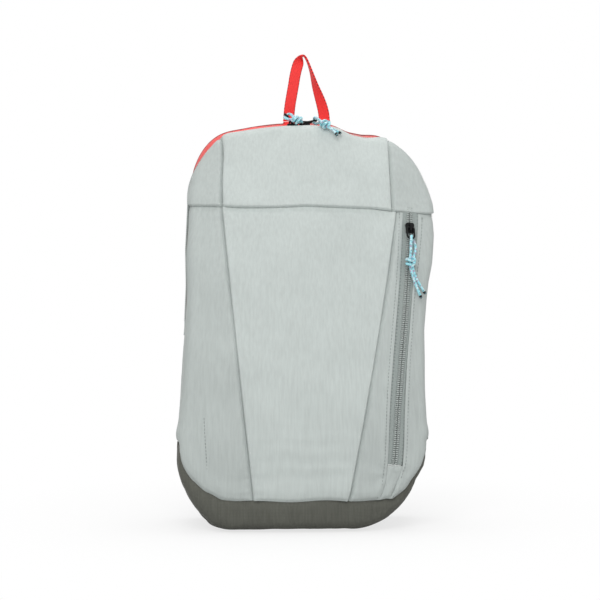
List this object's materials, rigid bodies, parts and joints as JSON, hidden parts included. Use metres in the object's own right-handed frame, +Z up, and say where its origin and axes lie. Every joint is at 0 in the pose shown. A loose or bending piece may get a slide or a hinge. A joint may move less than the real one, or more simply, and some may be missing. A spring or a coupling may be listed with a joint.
{
  "type": "daypack",
  "caption": "Small daypack with a crown zip, a zipped front pocket, cord zipper pulls, a webbing haul loop and padded shoulder straps.",
  "frame": {"origin": "middle of the footprint's bounding box, on the ground under the base", "axes": "+Z up, front face towards -Y, +X to the right as seen from the front"},
  "size_m": [0.2536, 0.183, 0.4675],
  "materials": {
    "grey_fabric": "fine vertical weave, coated nylon, matte",
    "lining": "thin coated nylon",
    "red_fabric": "coated nylon",
    "base_fabric": "coarser nylon, matte",
    "foam": "closed-cell foam",
    "back_mesh": "spacer mesh",
    "binding": "grosgrain tape",
    "zip_tape": "woven polyester tape",
    "coil": "nylon coil",
    "black_metal": "black enamel on die-cast zinc",
    "ring": "moulded, satin",
    "cord": "braided sheath, light aqua with flecks",
    "red_webbing": "woven nylon webbing",
    "webbing": "woven nylon webbing",
    "buckle": "moulded acetal"
  },
  "bodies": {
    "pack": {"back_binding": "binding", "back_cover": "back_mesh", "back_foam": "foam", "back_lining": "lining", "base_panel": "base_fabric", "front_centre_panel": "grey_fabric", "front_left_panel": "grey_fabric", "haul_loop_ends": "red_webbing", "main_coil_front": "coil", "main_coil_rear": "coil", "main_tape_front": "zip_tape", "main_tape_rear": "zip_tape", "main_zip_tab_left": "zip_tape", "main_zip_tab_right": "zip_tape", "pocket_coil_inner": "coil", "pocket_coil_outer": "coil", "pocket_inner_panel": "grey_fabric", "pocket_lining": "lining", "pocket_outer_panel": "grey_fabric", "pocket_tape_inner": "zip_tape", "pocket_tape_outer": "zip_tape", "pocket_zip_tab": "zip_tape", "side_panel_left": "grey_fabric", "side_panel_right": "grey_fabric", "strap_anchor_tab_left": "webbing", "strap_anchor_tab_right": "webbing", "strap_lower_webbing_left": "webbing", "strap_lower_webbing_right": "webbing", "strap_pad_left": "back_mesh", "strap_pad_right": "back_mesh", "strap_webbing_left": "webbing", "strap_webbing_right": "webbing", "yoke_centre": "grey_fabric", "yoke_left": "grey_fabric", "yoke_right": "grey_fabric", "zip_gusset": "red_fabric"},
    "haul_loop": {"haul_loop": "red_webbing"},
    "main_left_slider": {"main_left_slider": "black_metal"},
    "main_left_pull": {"main_left_ring": "ring", "main_left_cord": "cord", "main_left_knot": "cord"},
    "main_right_slider": {"main_right_slider": "black_metal"},
    "main_right_pull": {"main_right_ring": "ring", "main_right_cord": "cord", "main_right_knot": "cord"},
    "pocket_slider": {"pocket_slider": "black_metal"},
    "pocket_pull": {"pocket_ring": "ring", "pocket_cord": "cord", "pocket_knot": "cord"},
    "ladder_lock_left": {"ladder_lock_left": "buckle", "strap_tail_left": "webbing"},
    "ladder_lock_right": {"ladder_lock_right": "buckle", "strap_tail_right": "webbing"}
  },
  "joints": [
    {"name": "haul_loop_fold", "type": "hinge", "parent": "pack", "child": "haul_loop", "pos_m": [0, 0.02587, 0.40625], "axis": [1, 0, 0], "range_deg": [-90, 55]},
    {"name": "main_left_slider_travel", "type": "hinge", "parent": "pack", "child": "main_left_slider", "pos_m": [0, -0.04184, 0.11421], "axis": [0, -0.9914, 0.1305], "range_deg": [0, 11]},
    {"name": "main_right_slider_travel", "type": "hinge", "parent": "pack", "child": "main_right_slider", "pos_m": [0, -0.04184, 0.11421], "axis": [0, 0.9914, -0.1305], "range_deg": [0, 12.3]},
    {"name": "pocket_slider_travel", "type": "hinge", "parent": "pack", "child": "pocket_slider", "pos_m": [-0.0535, 0.66099, 0.08761], "axis": [0.9776, 0.1875, -0.0961], "range_deg": [0, 17.1]},
    {"name": "main_left_pull_swing", "type": "hinge", "parent": "main_left_slider", "child": "main_left_pull", "pos_m": [-0.00965, -0.00385, 0.40276], "axis": [0, -0.9914, 0.1305], "range_deg": [0, 35]},
    {"name": "main_right_pull_swing", "type": "hinge", "parent": "main_right_slider", "child": "main_right_pull", "pos_m": [0.00254, -0.00383, 0.40291], "axis": [0, -0.9914, 0.1305], "range_deg": [0, 85]},
    {"name": "pocket_pull_swing", "type": "hinge", "parent": "pocket_slider", "child": "pocket_pull", "pos_m": [0.10432, -0.05411, 0.29782], "axis": [-0.9776, -0.1875, 0.0961], "range_deg": [0, 150]},
    {"name": "ladder_lock_left_tilt", "type": "hinge", "parent": "pack", "child": "ladder_lock_left", "pos_m": [-0.09043, 0.05568, 0.15488], "axis": [0.972, 0, -0.2348], "range_deg": [0, 35]},
    {"name": "ladder_lock_right_tilt", "type": "hinge", "parent": "pack", "child": "ladder_lock_right", "pos_m": [0.09043, 0.05568, 0.15488], "axis": [0.972, 0, 0.2348], "range_deg": [0, 35]}
  ]
}
